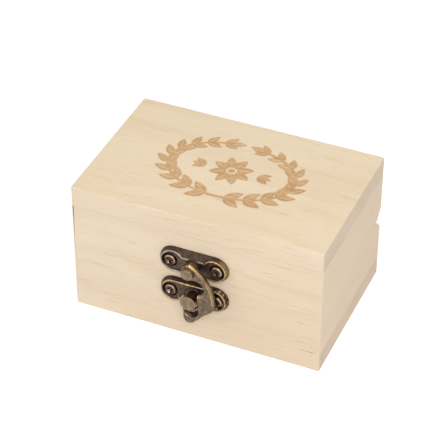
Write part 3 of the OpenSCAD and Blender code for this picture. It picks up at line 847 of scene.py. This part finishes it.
def soften(node, material, voxel_mm, rounds, wear_rounds, edge_full_mm, hollow_full_mm,
           roughen_mm=0.0, carve=None, paint=None):
    """A copy of a CAD node with its edges eased, and with attributes for edge wear, for hollows and
    for the pale colour of painted highlights.
    Rounds is how far the edges are eased. What then stands out from the shape eased by
    wear_rounds more is an edge, and what lies below it is a hollow, in full at the depths given."""
    piece = remeshed(node, voxel_mm)
    mesh = piece.data
    co = read_vectors(mesh, "co")
    edges = np.zeros(len(mesh.edges) * 2, int)
    mesh.edges.foreach_get("vertices", edges)
    edges = edges.reshape(-1, 2)
    if carve:
        carve(co)
    co = smoothed(co, edges, rounds)
    write_points(mesh, co)
    normals = read_vectors(mesh, "normal")
    proud = ((co - smoothed(co, edges, wear_rounds)) * normals).sum(axis=1)
    wear = {
        "edge": np.sqrt(np.clip(proud / edge_full_mm, 0, 1)),
        "hollow": np.clip(-proud / hollow_full_mm, 0, 1),
        "pale_sheen": np.zeros(len(co)),
    }
    if paint:
        paint(co, normals, wear)
    if roughen_mm:
        rough = [noise.noise(Vector(p) * 1.1) + 0.5 * noise.noise(Vector(p) * 2.7) for p in co]
        co = co + normals * (np.array(rough) * roughen_mm)[:, None]
    low, high = (np.array(p) * MM_IN_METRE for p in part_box(node))
    write_points(mesh, np.clip(co, low, high) * MM)
    for name, value in wear.items():
        attribute = mesh.attributes.new(name, "FLOAT", "POINT")
        attribute.data.foreach_set("value", value.astype(np.float32))
    mesh.materials.clear()
    mesh.materials.append(material)
    mesh.polygons.foreach_set("use_smooth", [True] * len(mesh.polygons))
    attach(piece, body_of[node])
    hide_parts(node)


PLATE = {"voxel_mm": CAST_VOXEL, "rounds": 5, "wear_rounds": 20, "edge_full_mm": 0.08,
         "hollow_full_mm": 0.07, "roughen_mm": 0.035}
HOOK = {"voxel_mm": CAST_VOXEL, "rounds": 5, "wear_rounds": 40, "edge_full_mm": 0.13,
        "hollow_full_mm": 0.1, "roughen_mm": 0.02}
HEAD = {"voxel_mm": SMALL_VOXEL, "rounds": 5, "wear_rounds": 24, "edge_full_mm": 0.14,
        "hollow_full_mm": 0.12, "roughen_mm": 0.012}
SCREW = {"voxel_mm": SMALL_VOXEL, "rounds": 2, "wear_rounds": 20, "edge_full_mm": 0.1,
         "hollow_full_mm": 0.05}
HINGE_LEAF = {"voxel_mm": CAST_VOXEL, "rounds": 2, "wear_rounds": 20, "edge_full_mm": 0.08,
              "hollow_full_mm": 0.07, "roughen_mm": 0.015}
HINGE_SCREW = {"voxel_mm": SMALL_VOXEL * 0.8, "rounds": 1, "wear_rounds": 16,
               "edge_full_mm": 0.08, "hollow_full_mm": 0.05}
HINGE_PIN = {"voxel_mm": SMALL_VOXEL, "rounds": 2, "wear_rounds": 16, "edge_full_mm": 0.1,
             "hollow_full_mm": 0.07}

latch_paint = paint_plate(("latch_screw_left", "latch_screw_right"), sheen_from=4.5, sheen_over=-2.0,
                          ridge=1.0, right_end=0.75)
keeper_paint = paint_plate(("keeper_screw_left", "keeper_screw_right"), sheen_from=0.5,
                           sheen_over=2.5, ridge=0.3, blotches=0.75, spot=LIGHTER_SPOT)
soften("latch_plate", cast_bronze, paint=latch_paint, **PLATE)
soften("keeper_plate", cast_bronze, paint=keeper_paint, **PLATE)
soften("swing_hook", hook_bronze, carve=shape_hook, paint=paint_hook, **HOOK)
for node, head_radius in (("pivot_rivet", RIVET_HEAD_RADIUS), ("keeper_stud", STUD_HEAD_RADIUS)):
    soften(node, head_bronze, paint=paint_head(node, head_radius), **HEAD)
for node, shine in (("latch_screw_left", 0.55), ("latch_screw_right", 0.0),
                    ("keeper_screw_left", 1.0), ("keeper_screw_right", 0.0)):
    soften(node, screw_bronze, paint=paint_screw(node, shine), **SCREW)

for side in ("left", "right"):
    for part, slope in (("box", 1), ("lid", -1)):
        outward = (0, math.sqrt(0.5), slope * math.sqrt(0.5))
        soften("hinge_%s_%s_leaf" % (side, part), hinge_bronze, **HINGE_LEAF)
        soften("hinge_%s_%s_screws" % (side, part), screw_bronze, carve=cross_recesses(outward),
               **HINGE_SCREW)
    soften("hinge_%s_pin" % side, hinge_bronze, **HINGE_PIN)


# Floor, world and lamps

FLOOR_HALF = (6.0, 6.0)
# The floor is open under the case, so that its underside gets light
FLOOR_OPENING = (0.0493, 0.0313)
FLOOR_PLAIN = (0.8, 0.8, 0.81, 1)
FLOOR_WHITE = (0.94, 0.955, 0.98, 1)
FLOOR_GLOW = 0.36
WORLD_COLOUR = (1, 0.99, 0.975, 1)
WORLD_LIGHT = 0.68
WHITE = (1, 1, 1, 1)
LAMP_AIM = (0, 0, 0.03)


def floor_material():
    """White to the camera, metal and glass, with the object's shadow on it, clear from below."""
    g = Graph(bpy.data.materials.new("floor_white"))
    white = g.node("BsdfDiffuse", {"Color": FLOOR_WHITE})
    glow = g.node("Emission", {"Color": WHITE, "Strength": FLOOR_GLOW})
    lit = g.node("AddShader", {0: white, 1: glow})
    plain = g.node("BsdfDiffuse", {"Color": FLOOR_PLAIN})
    shown = g.node("MixShader", {0: g.seen(), 1: plain, 2: lit})
    below = g.node("NewGeometry", out="Backfacing")
    below = g.times(below, g.node("LightPath", out="Is Camera Ray"))
    surface = g.node("MixShader", {0: below, 1: shown, 2: g.node("BsdfTransparent")})
    g.node("OutputMaterial", {"Surface": surface})
    return g.holder


floor_mesh = bpy.data.meshes.new("floor")
around = ((-1, -1), (1, -1), (1, 1), (-1, 1))
corners = [(sx * x, sy * y, 0) for x, y in (FLOOR_HALF, FLOOR_OPENING) for sx, sy in around]
quads = [(k, (k + 1) % 4, 4 + (k + 1) % 4, 4 + k) for k in range(4)]
floor_mesh.from_pydata(corners, [], quads)
floor = bpy.data.objects.new("floor", floor_mesh)
bpy.context.scene.collection.objects.link(floor)
floor_mesh.materials.append(floor_material())

world = bpy.data.worlds.new("studio")
bpy.context.scene.world = world
g = Graph(world)
light = g.node("Background", {"Color": WORLD_COLOUR, "Strength": WORLD_LIGHT})
shown = g.node("Background", {"Color": WHITE, "Strength": 1.0})
g.node("OutputWorld", {"Surface": g.node("MixShader", {0: g.seen(), 1: light, 2: shown})})


def lamp(name, place, width, power):
    """A soft square lamp of so many watts, turned to the case."""
    data = bpy.data.lights.new(name, "AREA")
    data.shape = "SQUARE"
    data.size = width
    data.energy = power
    obj = bpy.data.objects.new(name, data)
    obj.location = place
    obj.rotation_mode = "QUATERNION"
    obj.rotation_quaternion = (Vector(LAMP_AIM) - Vector(place)).to_track_quat("-Z", "Y")
    bpy.context.scene.collection.objects.link(obj)


lamp("key", place=(0.24, -0.44, 0.48), width=0.22, power=1.6)
lamp("fill", place=(-0.9, -0.5, 0.6), width=0.6, power=1.2)


# Camera, fitted to the photo's straight edges

AZIMUTH, ELEVATION, ROLL = (math.radians(a) for a in (23.28, 37.83, 0.19))
DISTANCE = 0.707
OFF_RIGHT = -0.00341
OFF_UP = 0.00399
AIM = Vector((0, 0, 0.027735))
FOCAL_PIXELS = 1855
PHOTO_PIXELS = 440
SENSOR = 36

level = math.cos(ELEVATION)
back = Vector((math.sin(AZIMUTH) * level, -math.cos(AZIMUTH) * level, math.sin(ELEVATION)))
right = Vector((math.cos(AZIMUTH), math.sin(AZIMUTH), 0))
up = back.cross(right)
rolled_right = math.cos(ROLL) * right + math.sin(ROLL) * up
rolled_up = -math.sin(ROLL) * right + math.cos(ROLL) * up
camera_data = bpy.data.cameras.new("camera")
camera_data.sensor_width = SENSOR
camera_data.lens = FOCAL_PIXELS / PHOTO_PIXELS * SENSOR
camera_data.clip_start = 0.05
camera_data.clip_end = 20
camera = bpy.data.objects.new("camera", camera_data)
camera.location = back * DISTANCE + rolled_right * OFF_RIGHT + rolled_up * OFF_UP + AIM
camera.rotation_mode = "QUATERNION"
axes = np.array([rolled_right, rolled_up, back]).T
camera.rotation_quaternion = Matrix(axes.tolist()).to_quaternion()
bpy.context.scene.collection.objects.link(camera)
bpy.context.scene.camera = camera
bpy.context.scene.view_settings.view_transform = "Standard"
